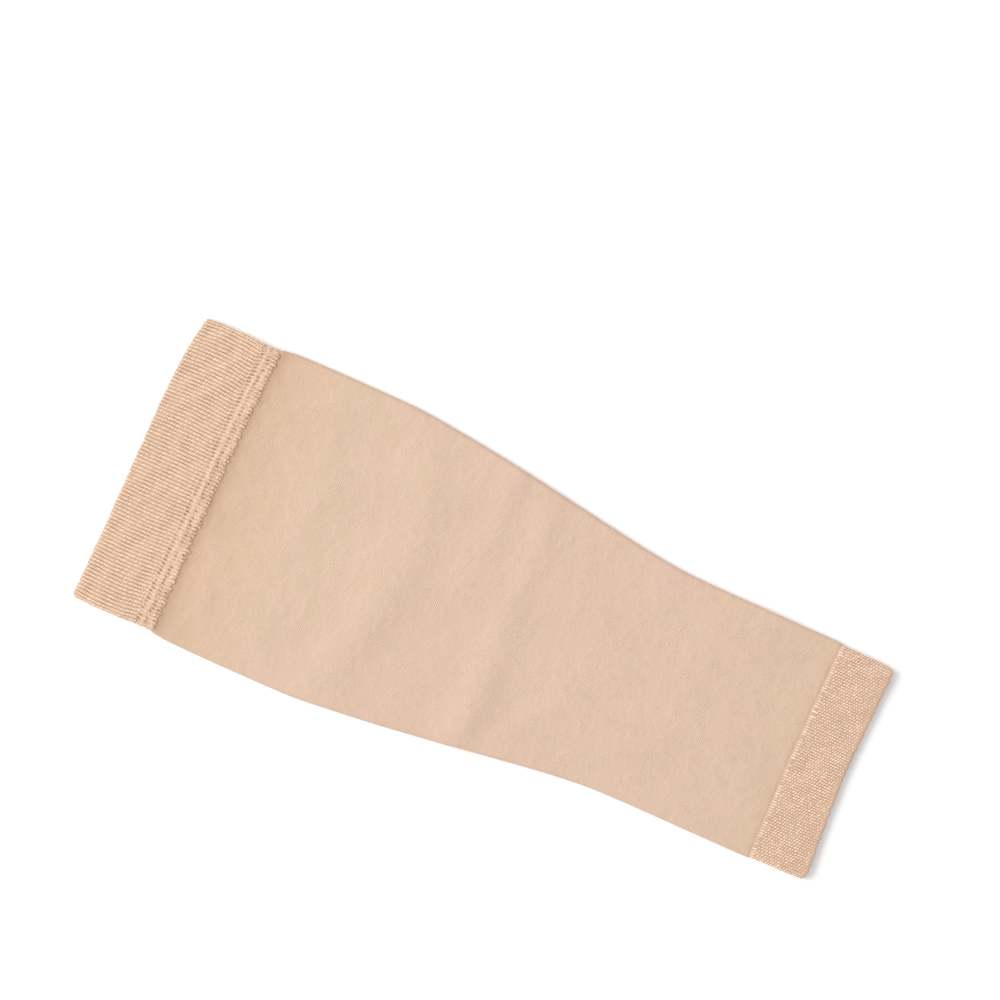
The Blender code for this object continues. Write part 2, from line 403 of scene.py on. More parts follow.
def wall_loop(length, wall, outer_spans, inner_spans, near_edge=0.0, far_edge=0.0):
    """(run, depth) round a wall of cloth from near_edge to length - far_edge, with round edges."""
    radius = wall / 2
    first, last = near_edge + radius, length - far_edge - radius
    bend = np.linspace(0, math.pi, EDGE_SPANS + 1)[1:-1]
    run = np.concatenate([
        np.linspace(first, last, outer_spans + 1),
        last + radius * np.sin(bend),
        np.linspace(last, first, inner_spans + 1),
        first - radius * np.sin(bend)])
    depth = np.concatenate([
        np.zeros(outer_spans + 1),
        radius * (1 - np.cos(bend)),
        np.full(inner_spans + 1, wall),
        radius * (1 + np.cos(bend))])
    return run, depth


# %% Carry the loop round the tube
BAKE_MARGIN = 0.002


def grid_mesh(name, points, turn, along):
    """A mesh through a grid of points that closes in both directions, with two UV maps.

    "knit" holds the turn and the metres along the loop. "OFBake" holds the same from 0 to 1.
    """
    rows, columns = points.shape[:2]
    row, column = np.meshgrid(np.arange(rows), np.arange(columns), indexing="ij")
    next_row, next_column = (row + 1) % rows, (column + 1) % columns
    faces = np.stack([row * columns + column, row * columns + next_column,
                      next_row * columns + next_column, next_row * columns + column], axis=-1)
    mesh = bpy.data.meshes.new(name)
    mesh.from_pydata(points.reshape(-1, 3), [], faces.reshape(-1, 4))
    mesh.shade_smooth()
    u = np.stack([turn[column], turn[column + 1], turn[column + 1], turn[column]], axis=-1)
    v = np.stack([along[row], along[row], along[row + 1], along[row + 1]], axis=-1)
    knit = mesh.uv_layers.new(name="knit")
    knit.data.foreach_set("uv", np.stack([u, v], axis=-1).ravel())
    bake = mesh.uv_layers.new(name="OFBake")
    unit = BAKE_MARGIN + (1 - 2 * BAKE_MARGIN) * np.stack([u, v / along[-1]], axis=-1)
    bake.data.foreach_set("uv", unit.ravel())
    return mesh


def add_attribute(mesh, name, values):
    """Store a number for each point of a mesh, for its dyes to read."""
    layer = mesh.attributes.new(name, "FLOAT", "POINT")
    layer.data.foreach_set("value", np.ascontiguousarray(values, dtype=np.float32).ravel())


def knit_wall(name, tube, wall, loop, turns, relief, deepest=0.0, inside=1.0):
    """A closed wall of cloth on a flat tube.

    `relief(run, turn)` is its depth under the skin, and `inside` the share of it that the inner face has.
    The attribute "deep" says for the dyes how deep a place is, as a share of `deepest`, and they paint shade
    by it.
    """
    run, depth = loop
    turn = np.arange(turns) / turns
    deeper = relief(run[:, None], turn[None, :])
    outside = (1 - 2 * depth / wall)[:, None]
    outside = np.where(outside < 0, inside * outside, outside)
    points, _ = tube.place(run[:, None], turn[None, :], depth[:, None] + deeper * outside)
    steps = np.hypot(np.diff(run, append=run[:1]), np.diff(depth, append=depth[:1]))
    along = np.concatenate([[0.0], np.cumsum(steps)])
    mesh = grid_mesh(name, points, np.arange(turns + 1) / turns, along)
    if deepest:
        add_attribute(mesh, "deep", np.broadcast_to(np.clip(deeper / deepest, 0, 1), points.shape[:2]))
    piece = bpy.data.objects.new(name, mesh)
    bpy.context.scene.collection.objects.link(piece)
    print(f"{name}: {2 * len(mesh.polygons)} triangles")
    return piece


# %% [markdown]
# ## The leg tube and its creases
#
# A sleeve that comes folded out of a box shows it on its front panel: a broad soft fold across the calf, a
# sharper one across the shin, and a few faint ones. Cloth simulation would give creases, but not these
# ones. So each crease is a ridge along a short listed path, rounder on one side than on the other, and
# fading out at its ends. A hollow is a ridge with heights below zero. The back panel gets some creases of
# its own, which only lift it from the table, because the table is in the way of anything else.

# %% The creases, in millimetres
# path: points (x, y, height of the crest there). knee_side and ankle_side: how far the ridge reaches to
# each side.
FRONT_CREASES = (
    dict(path=((-50, 56, 0.2), (-46, 38, 0.6), (-42, 20, 0.95), (-41, 0, 1.05), (-44, -16, 0.8),
               (-49, -31, 0.3), (-53, -42, 0.0)), knee_side=24.0, ankle_side=17.0),
    dict(path=((-43, -4, 0.0), (-46, -18, 0.5), (-49, -32, 1.15), (-52, -44, 1.0), (-56, -60, 0.3)),
         knee_side=15.0, ankle_side=19.0),
    dict(path=((-12, 64, 0.5), (-12.5, 46, 0.6), (-13, 32, 0.4), (-15, 12, 0.2), (-16, -10, 0.0)),
         knee_side=12.0, ankle_side=7.0),
    dict(path=((3, 56, 0.3), (4.5, 42, 0.6), (6, 26, 0.6), (6, 4, 0.5), (6.5, -10, 0.2), (7, -20, 0.0)),
         knee_side=10.0, ankle_side=9.5),
    dict(path=((6, 10, 0.0), (6.5, -6, 0.45), (7.5, -20, 1.0), (8, -34, 1.45), (6.5, -46, 1.4),
               (5, -56, 1.0)), knee_side=17.0, ankle_side=12.5),
    dict(path=((46, -10, 0.0), (35, -27, 0.42), (24, -46, 0.40), (20, -56, 0.1)),
         knee_side=11.0, ankle_side=14.0),
    dict(path=((-110, 46, 0.0), (-109, 24, -0.42), (-108, 4, -0.46), (-109, -14, -0.34), (-110, -32, 0.0)),
         knee_side=10.0, ankle_side=22.0),
    dict(path=((-118, -30, 0.0), (-110, -43, 0.28), (-105, -58, 0.2)), knee_side=7.0, ankle_side=7.0),
    dict(path=((-92, 60, 0.2), (-88, 34, 0.3), (-85, 14, 0.42), (-87, -8, 0.25), (-90, -24, 0.0)),
         knee_side=14.0, ankle_side=12.0),
    dict(path=((78, 44, 0.1), (84, 12, 0.22), (80, -20, 0.0)), knee_side=14.0, ankle_side=14.0),
    dict(path=((103, 46, 1.0), (101, 34, 0.7), (102, 16, 0.0)), knee_side=40.0, ankle_side=30.0),
    dict(path=((124, -2, 0.0), (123, -17, 0.45), (124, -32, 0.0)), knee_side=16.0, ankle_side=9.0),
)
BACK_CREASES = (
    dict(path=((-38, 58, 0.1), (-42, 20, 0.26), (-40, -16, 0.24), (-48, -52, 0.0)),
         knee_side=10.0, ankle_side=8.0),
    dict(path=((6, 52, 0.0), (3, 14, 0.2), (8, -20, 0.3), (5, -52, 0.2)), knee_side=8.0, ankle_side=6.0),
    dict(path=((52, 36, 0.0), (60, 4, 0.18), (56, -30, 0.0)), knee_side=8.0, ankle_side=10.0),
    dict(path=((-96, -56, 0.1), (-88, -20, 0.16), (-92, 14, 0.0)), knee_side=9.0, ankle_side=9.0),
)


# %% The height of the creases
CREASE_FALL = 3               # how steeply a ridge falls off within its reach


def crease_height(creases, x, y):
    """The height of these creases, in metres, at each point."""
    total = 0 * x
    for crease in creases:
        path = np.array(crease["path"]) * MM
        path = path[np.argsort(path[:, 1])]
        crest = smooth_curve(path[:, 1], path[:, 0])(y)
        height = smooth_curve(path[:, 1], path[:, 2])(y)
        away = x - crest
        reach = np.where(away < 0, crease["knee_side"], crease["ankle_side"]) * MM
        total = total + height * np.exp(-CREASE_FALL * (away / reach) ** 2)
    return total


# %% How the leg tube lies
SEAM_EDGE = 7.3 * MM          # the seam's free edge, from the tube's own hidden edge
SEAM_RISE = 1.15 * MM         # the front panel comes out from under the seam this much higher
RISE_LENGTH = 2.5 * MM        # and falls away from it, steeply at first and then more and more gently
HIDDEN_RISE = 0.75            # the share of that rise that it has under the seam, up to RISE_FROM
RISE_FROM = 4.0 * MM
SETTLING = 0.12               # how much sooner than its solid the back panel comes down to the table
SETTLING_FROM, SETTLING_SPAN = 8 * MM, 3 * MM
JOIN_DIP = 0.18 * MM          # the tube is drawn in where the ankle band starts
JOIN_DIP_LENGTH = 2.2 * MM
BULGE = 0.9 * MM              # freed from the seam, each side springs out this much further
BULGE_FROM, BULGE_RISE = 5.8 * MM, 1.2 * MM
BULGE_TO, BULGE_FALL = 12.0 * MM, 4.8 * MM


def past_the_seam(run, length):
    """1 at the seam's free edge, fading away from it over about this length."""
    return np.exp(-np.maximum(run - SEAM_EDGE, 0) / length)


def leg_sink(run, x, y, over):
    """The front panel falls away from the seam, the ankle join draws it in, and the creases raise it."""
    front, back = eased(2 * over - 1), eased(1 - 2 * over)
    under_seam = HIDDEN_RISE + (1 - HIDDEN_RISE) * ramp(run, RISE_FROM, SEAM_EDGE - RISE_FROM)
    rise = SEAM_RISE * under_seam * past_the_seam(run, RISE_LENGTH)
    settled = SETTLING * lift_curve(run) * ramp(run, SETTLING_FROM, SETTLING_SPAN)
    near_join = JOIN_DIP * ramp(run, leg.length - JOIN_DIP_LENGTH, JOIN_DIP_LENGTH)
    raised = front * crease_height(FRONT_CREASES, x, y) - back * crease_height(BACK_CREASES, x, y)
    return front * (lift_curve(run) - rise) - back * settled + near_join - raised


def leg_bulge(run):
    """Freed from the seam, the tube springs out to its full width at once."""
    return BULGE * ramp(run, BULGE_FROM, BULGE_RISE) * eased((BULGE_TO - run) / BULGE_FALL)


leg.sink = leg_sink
leg.bulge = leg_bulge

# %% Knit the leg tube
LEG_OUTER_SPANS = 176
LEG_INNER_SPANS = 44
LEG_TURNS = 300
LEG_STARTS = 1.4 * MM         # the cloth's hidden edge, from the solid's
JOIN_TUCK = 0.9 * MM          # its far end goes under the ankle band's first loops

leg_loop = wall_loop(leg.length, TUBE_WALL, LEG_OUTER_SPANS, LEG_INNER_SPANS,
                     near_edge=LEG_STARTS, far_edge=-JOIN_TUCK)
leg_piece = knit_wall("leg_tube_knit", leg, TUBE_WALL, leg_loop, LEG_TURNS, lambda run, turn: 0 * run)

# %% Paint warm shade on the leg beside the seam and at the ankle join
# Painted shade beside the seam's free edge, in two parts: how much each paints at the edge, and fade: how
# soon it fades away.
SHADE_AT_SEAM = (dict(painted_shade=0.30, fade=5.0 * MM), dict(painted_shade=0.36, fade=2.4 * MM))
SHADE_OVER_KNEE_END = 0.20       # painted shade over the knee end: this much, as far as the next line's distance, then fading out
SHADE_TO, SHADE_SPAN = 20 * MM, 22 * MM
SHADE_AT_JOIN = 0.08
SHADE_JOIN_FADE = 4.0 * MM
SHADE_MEAN, SHADE_SWING = 0.88, 0.14
SLOW_WAVES, QUICK_WAVES = 3, 7   # waves round the tube, whose product makes the painted shade deeper here than there
SLOW_PHASE = 0.6


def leg_painted_shade(run, turn):
    """How much warm shade is painted on the knit, from 0 to 1: beside the seam, over the knee end and at the
    join.
    """
    angle = 2 * math.pi * turn
    waves = np.sin(SLOW_WAVES * angle + SLOW_PHASE) * np.sin(QUICK_WAVES * angle)
    uneven = SHADE_MEAN + SHADE_SWING * waves
    at_seam = sum(row["painted_shade"] * past_the_seam(run, row["fade"]) for row in SHADE_AT_SEAM)
    below_seam = SHADE_OVER_KNEE_END * (1 - ramp(run, SHADE_TO, SHADE_SPAN))
    at_join = SHADE_AT_JOIN * np.exp(-np.maximum(leg.length - run, 0) / SHADE_JOIN_FADE)
    return (at_seam + below_seam) * uneven + at_join


# painted shade on the leg, stored for its dye
painted_shade = leg_painted_shade(leg_loop[0][:, None], np.arange(LEG_TURNS)[None, :] / LEG_TURNS)
add_attribute(leg_piece.data, "painted_shade", painted_shade)

# %% [markdown]
# ## The top band's ribs
#
# The knee band is one-by-one rib: a column of face stitches stands out, the next one sinks in behind it. So
# the band is a wall whose skin goes up and down 168 times round, with broad rounded ribs and narrow
# valleys. A sine wave would make valleys as wide as ribs, so the sine is flattened with a power below one.
# No two ribs are quite alike: slow waves make them wander, and soft patches make them shallower here and
# deeper there.

# %% Uneven lines and soft patches
# Both add up waves that a seed picks: how many go round a tube and, for patches, how long they are along it.
RAGGED_WAVES = 9
RAGGED_ROUND = (6, 80)
PATCH_WAVES = 8
PATCH_ROUND = (-26, 27)
PATCH_LENGTH = (6 * MM, 18 * MM)
PATCH_SOFTNESS = 5            # a larger number leaves fewer places at 0 or 1


def ragged(turn, size, seed):
    """A random wavy line round a tube, about this far to each side."""
    dice = np.random.default_rng(seed)
    total = 0 * turn
    for _ in range(RAGGED_WAVES):
        total = total + np.sin(2 * math.pi * (dice.integers(*RAGGED_ROUND) * turn + dice.random()))
    return size * total / math.sqrt(RAGGED_WAVES)


def patches(run, turn, seed):
    """Soft patches over a tube, from 0 to 1."""
    dice = np.random.default_rng(seed)
    total = 0 * run
    for _ in range(PATCH_WAVES):
        waves = run / dice.uniform(*PATCH_LENGTH) + dice.integers(*PATCH_ROUND) * turn
        total = total + np.sin(2 * math.pi * (waves + dice.random()))
    return eased(0.5 + total / PATCH_SOFTNESS)


# %% How the top band lies
BAND_TUCK = 0.8 * MM          # past its solid's far end, the band's round edge goes on under the seam
LAST_STITCHES = 0.3 * MM      # and so far its stitches do
CORNER_REACH = 4.2 * MM       # the corners of the two ends are rounded over this width
MOUTH_CORNERS = 0.4 * MM      # and drawn back this far at the knee
MOUTH_RAGGED = 0.10 * MM
MOUTH_REACH = 4 * MM          # how far into the band that is felt
# (millimetres from the mouth, millimetres that the ribs have moved towards the side folds)
RIB_BOW = ((0, 0.0), (4, 0.12), (9, 0.32), (14, 0.34), (19, 0.18), (24, -0.15), (29, -0.45))
BOW_MIDDLE = 0.03             # the ribs part a little to one side of the middle, in turns
# size and length: millimetres round and along the band. waves: how many go round it.
RIB_WANDER = (
    dict(size=0.06, length=23, waves=7, phase=3.0),
    dict(size=0.05, length=14, waves=-16, phase=2.5),
    dict(size=0.04, length=8, waves=29, phase=2.0),
    dict(size=0.03, length=5, waves=-43, phase=1.5),
)

bow_curve = smooth_curve([row[0] * MM for row in RIB_BOW], [row[1] * MM for row in RIB_BOW])


def wander(run, turn):
    """Slow waves that keep the ribs from being ruled lines, in metres."""
    total = 0 * run
    for row in RIB_WANDER:
        angle = 2 * math.pi * (run / (row["length"] * MM) + row["waves"] * turn) + row["phase"]
        total = total + row["size"] * MM * np.sin(angle)
    return total


def drawn_back(turn, girth, pull):
    """How far a tube's end draws back at its two folds, which rounds the corners of what lies flat."""
    from_fold = np.abs(2 * turn % 1.0 - 0.5) / 2 * girth
    return pull * (1 - eased(from_fold / CORNER_REACH))


def top_band_sway(run, turn):
    """The ribs bow towards the side folds, and wander."""
    bow = -bow_curve(run) * np.sin(2 * math.pi * (turn - BOW_MIDDLE))
    return (bow + wander(run, turn)) / top_band.girth(run)


def top_band_stray(run, turn):
    """The mouth is a little uneven, with round corners."""
    corners = drawn_back(turn, top_band.girth(run), MOUTH_CORNERS)
    return (ragged(turn, MOUTH_RAGGED, seed=3) + corners) * (1 - ramp(run, 0.0, MOUTH_REACH))


top_band.sway = top_band_sway
top_band.stray = top_band_stray

# %% Knit the top band's wall
RIBS = 168
TURNS_PER_RIB = 8
RIB_ROUNDNESS = 0.6
YARN_STANDS = 0.22 * MM       # how far the yarn lies over the rib's own crest
RIB_DEPTH = 0.45 * MM
SHALLOW_RIBS = 0.68           # the share of that depth that the valleys have in the shallowest patches
DEEPER_RIBS = 0.44            # and what the deepest patches add to it
NEEDLE_PULL = 0.04 * MM       # how much deeper the needle row of the seam draws the valleys
NEEDLE_REACH = 1.5 * MM
NEEDLE_STRENGTH = (0.45, 1.0)

chance = np.random.default_rng(5)   # what is uneven from here on is drawn from this, in order
needle_strength = chance.uniform(*NEEDLE_STRENGTH, RIBS)


def rib_valley(turn):
    """0 on the crest of a rib and 1 in the valley between two."""
    return 1 - np.abs(np.sin(math.pi * turn * RIBS)) ** RIB_ROUNDNESS


def nearest_valley(turn):
    """The number of the valley that is nearest to each turn."""
    return np.round(turn * RIBS).astype(int) % RIBS


def top_band_relief(run, turn):
    """Valleys of uneven depth, drawn in a little more where the needle row of the seam begins."""
    uneven = SHALLOW_RIBS + DEEPER_RIBS * patches(run, turn, seed=12)
    near_needles = ramp(run, top_band.length - NEEDLE_REACH, NEEDLE_REACH)
    pulled = NEEDLE_PULL * near_needles * needle_strength[nearest_valley(turn)]
    return YARN_STANDS + (RIB_DEPTH * uneven + pulled) * rib_valley(turn)


top_loop = wall_loop(top_band.length, TOP_BAND_WALL, outer_spans=32, inner_spans=6, far_edge=-BAND_TUCK)
top_piece = knit_wall("top_band_rib", top_band, TOP_BAND_WALL, top_loop, RIBS * TURNS_PER_RIB,
                      top_band_relief, YARN_STANDS + RIB_DEPTH + NEEDLE_PULL, inside=0.7)

# %% [markdown]
# ## Stitches
#
# On each rib lies a column of stitches, which look like short slanted strokes of yarn. There are thousands,
# all alike and all a little different, which is work for Geometry Nodes: one small drop of yarn is put on
# every point of a carrier mesh. The carrier's points come from Python, because only the flat tube knows
# where a rib is, and they carry the way out and the way along as attributes. The tree does the rest, with a
# fixed seed, and the result is made a plain mesh.

# %% One way to add any node
class Wire:
    """One output of a node. Python's operators on it add Math nodes."""

    def __init__(self, recipe, socket):
        self.recipe, self.socket = recipe, socket

    def __add__(self, other):
        return self.recipe.maths("ADD", self, other)

    def __radd__(self, other):
        return self.recipe.maths("ADD", other, self)

    def __sub__(self, other):
        return self.recipe.maths("SUBTRACT", self, other)

    def __rsub__(self, other):
        return self.recipe.maths("SUBTRACT", other, self)

    def __mul__(self, other):
        return self.recipe.maths("MULTIPLY", self, other)

    def __rmul__(self, other):
        return self.recipe.maths("MULTIPLY", other, self)

    def __truediv__(self, other):
        return self.recipe.maths("DIVIDE", self, other)

    def __rtruediv__(self, other):
        return self.recipe.maths("DIVIDE", other, self)

    def __pow__(self, other):
        return self.recipe.maths("POWER", self, other)

    def __rpow__(self, other):
        return self.recipe.maths("POWER", other, self)


class Recipe:
    """A node tree, of a material or of Geometry Nodes."""

    def __init__(self, tree):
        self.tree = tree

    def node(self, kind, settings=None, sockets=None, out=0):
        """Add a node: its settings first, then the values or links of its sockets. Returns one output."""
        node = self.tree.nodes.new(kind)
        for name, value in (settings or {}).items():
            setattr(node, name, value)
        for key, value in (sockets or {}).items():
            socket = node.inputs[key] if isinstance(key, int) else self.named(node, key)
            if isinstance(value, Wire):
                self.tree.links.new(value.socket, socket)
            else:
                socket.default_value = value
        return Wire(self, node.outputs[out])

    @staticmethod
    def named(node, key):
        """The input with this identifier or name, among those that the node shows now."""
        shown = [socket for socket in node.inputs if socket.enabled]
        return next(socket for socket in shown if key in (socket.identifier, socket.name))

    def maths(self, operation, *values):
        """Add a Math node."""
        return self.node("ShaderNodeMath", {"operation": operation}, dict(enumerate(values)))


# %% The stitching tree
STITCH_SIDES = 6
STITCH_RINGS = 4


def stitching_tree():
    """Geometry Nodes: a drop of yarn on every point, turned and sized by the points' attributes."""
    tree = bpy.data.node_groups.new("stitching", "GeometryNodeTree")
    tree.interface.new_socket("Carrier", in_out="INPUT", socket_type="NodeSocketGeometry")
    for name in ("Length", "Width", "Height", "Slant", "Unevenness"):
        tree.interface.new_socket(name, in_out="INPUT", socket_type="NodeSocketFloat")
    tree.interface.new_socket("Seed", in_out="INPUT", socket_type="NodeSocketInt")
    tree.interface.new_socket("Yarn", in_out="INPUT", socket_type="NodeSocketMaterial")
    tree.interface.new_socket("Stitches", in_out="OUTPUT", socket_type="NodeSocketGeometry")
    recipe = Recipe(tree)
    group = tree.nodes.new("NodeGroupInput")
    given = {socket.name: Wire(recipe, socket) for socket in group.outputs}

    drop = recipe.node("GeometryNodeMeshUVSphere", None,
                       {"Segments": STITCH_SIDES, "Rings": STITCH_RINGS, "Radius": 0.5})
    drop_map = Wire(recipe, drop.socket.node.outputs["UV Map"])
    drop = recipe.node("GeometryNodeStoreNamedAttribute", {"data_type": "FLOAT2", "domain": "CORNER"},
                       {"Geometry": drop, "Name": "OFBake", "Value": drop_map})
    size = recipe.node("ShaderNodeCombineXYZ", None,
                       {"X": given["Length"], "Y": given["Width"], "Z": given["Height"]})
    slant = recipe.node("ShaderNodeCombineXYZ", None, {"Z": given["Slant"]})
    drop = recipe.node("GeometryNodeTransform", None,
                       {"Geometry": drop, "Rotation": slant, "Scale": size})
    drop = recipe.node("GeometryNodeSetShadeSmooth", None, {"Geometry": drop})

    def attribute(name, data_type):
        return recipe.node("GeometryNodeInputNamedAttribute", {"data_type": data_type}, {"Name": name})

    def chance(low, high, salt):
        return recipe.node("FunctionNodeRandomValue", {"data_type": "FLOAT"},
                           {"Min": low, "Max": high, "Seed": given["Seed"] + salt}, out=1)

    uneven = given["Unevenness"]
    facing = recipe.node("FunctionNodeAlignRotationToVector", {"axis": "Z"},
                         {"Vector": attribute("out", "FLOAT_VECTOR")})
    facing = recipe.node("FunctionNodeAlignRotationToVector", {"axis": "X", "pivot_axis": "Z"},
                         {"Rotation": facing, "Vector": attribute("along", "FLOAT_VECTOR")})
    swing = recipe.node("FunctionNodeAxisAngleToRotation", None,
                        {"Axis": (0.0, 0.0, 1.0), "Angle": chance(-1.0, 1.0, 1) * uneven})
    facing = recipe.node("FunctionNodeRotateRotation", {"rotation_space": "LOCAL"},
                         {"Rotation": facing, "Rotate By": swing})
    own_size = recipe.node("ShaderNodeVectorMath", {"operation": "SCALE"},
                           {"Vector": attribute("size", "FLOAT_VECTOR"),
                            "Scale": 1.0 + chance(-1.0, 1.0, 2) * uneven})
    laid = recipe.node("GeometryNodeInstanceOnPoints", None,
                       {"Points": given["Carrier"], "Instance": drop, "Rotation": facing,
                        "Scale": own_size})
    laid = recipe.node("GeometryNodeStoreNamedAttribute", {"data_type": "FLOAT", "domain": "INSTANCE"},
                       {"Geometry": laid, "Name": "tone", "Value": chance(0.0, 1.0, 3)})
    laid = recipe.node("GeometryNodeRealizeInstances", None, {"Geometry": laid})
    laid = recipe.node("GeometryNodeSetMaterial", None, {"Geometry": laid, "Material": given["Yarn"]})
    done = tree.nodes.new("NodeGroupOutput")
    tree.links.new(laid.socket, done.inputs["Stitches"])
    return tree


STITCHING = stitching_tree()
print("stitching tree:", len(STITCHING.nodes), "nodes")

# %% Carry the points, and lay the stitches
ALONG_STEP = 0.2 * MM         # the way along is measured over this step
CELL_MARGIN = 0.04            # what a stitch leaves free of its cell in the bake map
CELL_SHARE = 0.9              # and what it takes up


def carrier_mesh(name, tube, run, turn, depth, size, slant=None):
    """A mesh of loose points on a flat tube, with the attributes that the stitching tree reads.

    `size` is three factors on a stitch's own length, width and height. `slant` turns each stitch by itself.
    """
    points, out = tube.place(run, turn, depth)
    ahead, _ = tube.place(run + ALONG_STEP, turn, depth)
    along = (ahead - points) / np.linalg.norm(ahead - points, axis=-1, keepdims=True)
    if slant is not None:
        across = np.cross(out, along)
        along = np.cos(slant)[:, None] * along + np.sin(slant)[:, None] * across
    mesh = bpy.data.meshes.new(name)
    mesh.from_pydata(points, [], [])
    for key, value in (("out", out), ("along", along), ("size", size)):
        layer = mesh.attributes.new(key, "FLOAT_VECTOR", "POINT")
        layer.data.foreach_set("vector", np.ascontiguousarray(value, dtype=np.float32).ravel())
    return mesh


def lay_stitches(name, carrier, yarn, size, slant, unevenness, seed):
    """Run the stitching tree over a carrier and keep the result as a plain mesh.

    `size` is the length, width and height of a stitch, and `unevenness` how much each may differ.
    """
    length, width, height = size
    values = {"Length": length, "Width": width, "Height": height, "Slant": slant,
              "Unevenness": unevenness, "Seed": seed, "Yarn": yarn}
    piece = bpy.data.objects.new(name, carrier)
    bpy.context.scene.collection.objects.link(piece)
    nodes = piece.modifiers.new("stitching", "NODES")
    nodes.node_group = STITCHING
    for socket in STITCHING.interface.items_tree:
        if socket.in_out == "INPUT" and socket.name in values:
            nodes[socket.identifier] = values[socket.name]
    count = len(carrier.vertices)
    bpy.context.view_layer.update()
    shaped = piece.evaluated_get(bpy.context.evaluated_depsgraph_get())
    mesh = bpy.data.meshes.new_from_object(shaped)
    piece.modifiers.remove(nodes)
    piece.data = mesh
    mesh.name = name
    spread_bake_map(mesh, count)
    triangles = sum(len(face.vertices) - 2 for face in mesh.polygons)
    print(f"{name}: {count} stitches, {triangles} triangles")
    return piece


def spread_bake_map(mesh, count):
    """Give each stitch a cell of its own in the OFBake map."""
    layer = mesh.uv_layers["OFBake"]
    unit = np.empty(len(layer.data) * 2, np.float32)
    layer.data.foreach_get("uv", unit)
    unit = unit.reshape(count, -1, 2)
    cells = math.ceil(math.sqrt(count))
    which = np.arange(count)
    cell = np.stack([which % cells, which // cells], axis=-1)[:, None, :]
    inside = BAKE_MARGIN + CELL_MARGIN + CELL_SHARE * unit
    layer.data.foreach_set("uv", ((cell + inside) / cells).astype(np.float32).ravel())


# %% [markdown]
# ## Materials
#
# Knitwear yarn is matt with a faint sheen, and its colour isn't even: dye takes a little pinker here and a
# little yellower there. Every material below is mixed by the same few helpers, which blend, tint, darken or
# mottle a colour and feed the shader. Patterns that follow the knit read the "knit" map, so they turn with
# the cloth over the side folds. Blotches and grain read Object coordinates, and what depends on the shape,
# such as the shade in a valley, reads a number that was stored on the mesh.

# %% Helpers for colour
def shade(red, green, blue):
    """A colour that covers fully."""
    return (red, green, blue, 1.0)


class Dye(Recipe):
    """A material's nodes, with the few mixtures that the knits share."""

    def __init__(self, name):
        self.material = bpy.data.materials.new(name)
        self.material.use_nodes = True
        super().__init__(self.material.node_tree)
        self.shader = self.tree.nodes["Principled BSDF"]

    def mix(self, mask, first, second):
        """first where the mask is 0, second where it is 1."""
        return self.node("ShaderNodeMix", {"data_type": "RGBA"},
                         {"Factor_Float": mask, "A_Color": first, "B_Color": second}, out=2)

    def tint(self, mask, colour, by):
        """Multiply a colour by another where the mask is 1."""
        tinted = self.node("ShaderNodeVectorMath", {"operation": "MULTIPLY"}, {0: colour, 1: by})
        return self.mix(mask, colour, tinted)

    def darken(self, colour, by):
        """Multiply a colour by a number that changes over the surface."""
        return self.node("ShaderNodeVectorMath", {"operation": "SCALE"}, {"Vector": colour, "Scale": by})

    def limit(self, value):
        """Cut a number off at 0 and 1."""
        return self.maths("MINIMUM", self.maths("MAXIMUM", value, 0.0), 1.0)

    def place(self):
        """Object coordinates, in metres, as the piece lies."""
        return self.node("ShaderNodeTexCoord", out=3)

    def stored(self, name):
        """A number that the mesh stores under this name."""
        return self.node("ShaderNodeAttribute", {"attribute_name": name}, out=2)

    def blotches(self, size, detail=2.0):
        """Soft noise from 0 to 1, in blotches of about this size."""
        return self.node("ShaderNodeTexNoise", None,
                         {"Vector": self.place(), "Scale": 1.0 / size, "Detail": detail, "Roughness": 0.5})

    def mottle(self, colour, size):
        """Make a colour a little darker here and lighter there, in blotches of about this size."""
        return self.darken(colour, 0.95 + 0.10 * self.blotches(size))

    def knit_map(self):
        """The turn and the metres along, from the knit map."""
        split = self.node("ShaderNodeSeparateXYZ", None,
                          {"Vector": self.node("ShaderNodeUVMap", {"uv_map": "knit"})})
        return split, Wire(self, split.socket.node.outputs["Y"])

    def wave(self, angle):
        """A cosine wave from 0 to 1."""
        return 0.5 + 0.5 * self.maths("COSINE", angle)

    def finish(self, colour, roughness, sheen, height=None, bump=0.0):
        """Feed the shader. A `height` of 1 stands out by `bump` metres."""
        links = self.tree.links
        links.new(colour.socket, self.shader.inputs["Base Color"])
        self.shader.inputs["Roughness"].default_value = roughness
        self.shader.inputs["Sheen Weight"].default_value = sheen
        self.shader.inputs["Sheen Roughness"].default_value = 0.5
        self.shader.inputs["Specular IOR Level"].default_value = 0.2
        if height:
            bumped = self.node("ShaderNodeBump", None,
                               {"Strength": 1.0, "Distance": bump, "Height": height})
            links.new(bumped.socket, self.shader.inputs["Normal"])
        return self.material


# %% The leg's fine knit
WALES = 300                   # columns of stitches round the leg
COURSE = 0.8 * MM             # one row of stitches along it
V_SLANT = 1.1                 # how steep a stitch's V is, in rows to a column's width
V_SHARE = 0.6                 # what the V adds to a stitch's height. The column's roundness adds the rest.
SHOWN_PATCH = 5 * MM          # the stitches show in patches of about this size
SHOWN_FROM, SHOWN_CONTRAST = 0.40, 4.5
HIDDEN_STITCH, HIDDEN_GRAIN = 0.08, 0.35   # this share of stitch and grain is left between the patches
GRAIN = 0.8 * MM
GRAIN_HEIGHT = 1.2            # next to a stitch's height of 1
STITCH_SHADE, GRAIN_SHADE = 0.07, 0.12     # painted shade: how much darker the knit is in its low places than on its heights
KNIT_BUMP = 0.165 * MM
LEG_PINK = shade(0.698, 0.487, 0.391)
LEG_YELLOW = shade(0.664, 0.488, 0.345)
YELLOW_SHARE = 0.38           # between the two, more or less of the yellow in soft patches
YELLOW_PATCH, YELLOW_VARIES = 11 * MM, 0.9
